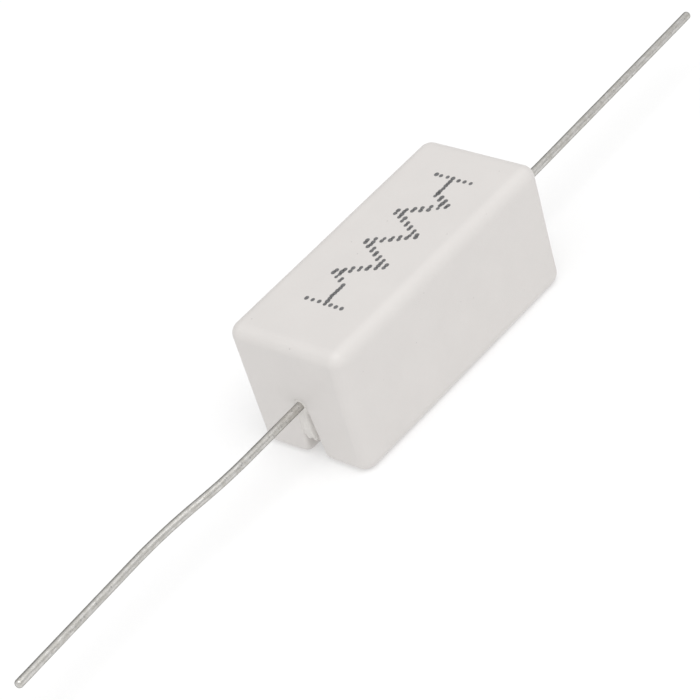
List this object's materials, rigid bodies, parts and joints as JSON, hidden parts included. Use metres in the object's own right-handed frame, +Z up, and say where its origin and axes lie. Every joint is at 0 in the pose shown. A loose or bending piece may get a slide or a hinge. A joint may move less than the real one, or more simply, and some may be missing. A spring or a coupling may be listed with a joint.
{
  "type": "axial resistor",
  "caption": "Block-shaped ceramic power resistor, filled with cement, with a straight tinned lead out of each end for soldering.",
  "frame": {"origin": "centre of the case's footprint, in the plane of the rim that it rests on", "axes": "+X along the leads, towards the far end of the picture; +Z up, from the open rim to the closed top"},
  "size_m": [0.0739, 0.0096, 0.0098],
  "materials": {
    "case_ceramic": "satin",
    "cement": "matte",
    "rod_ceramic": "matte",
    "resistance_alloy": "satin",
    "cap_steel": "satin",
    "tinned_wire": "satin"
  },
  "bodies": {
    "root": {"ceramic_case": "case_ceramic", "cement_fill": "cement", "core_rod": "rod_ceramic", "resistance_wire": "resistance_alloy", "end_cap_left": "cap_steel", "end_cap_right": "cap_steel", "lead_left": "tinned_wire", "lead_right": "tinned_wire"}
  },
  "joints": []
}
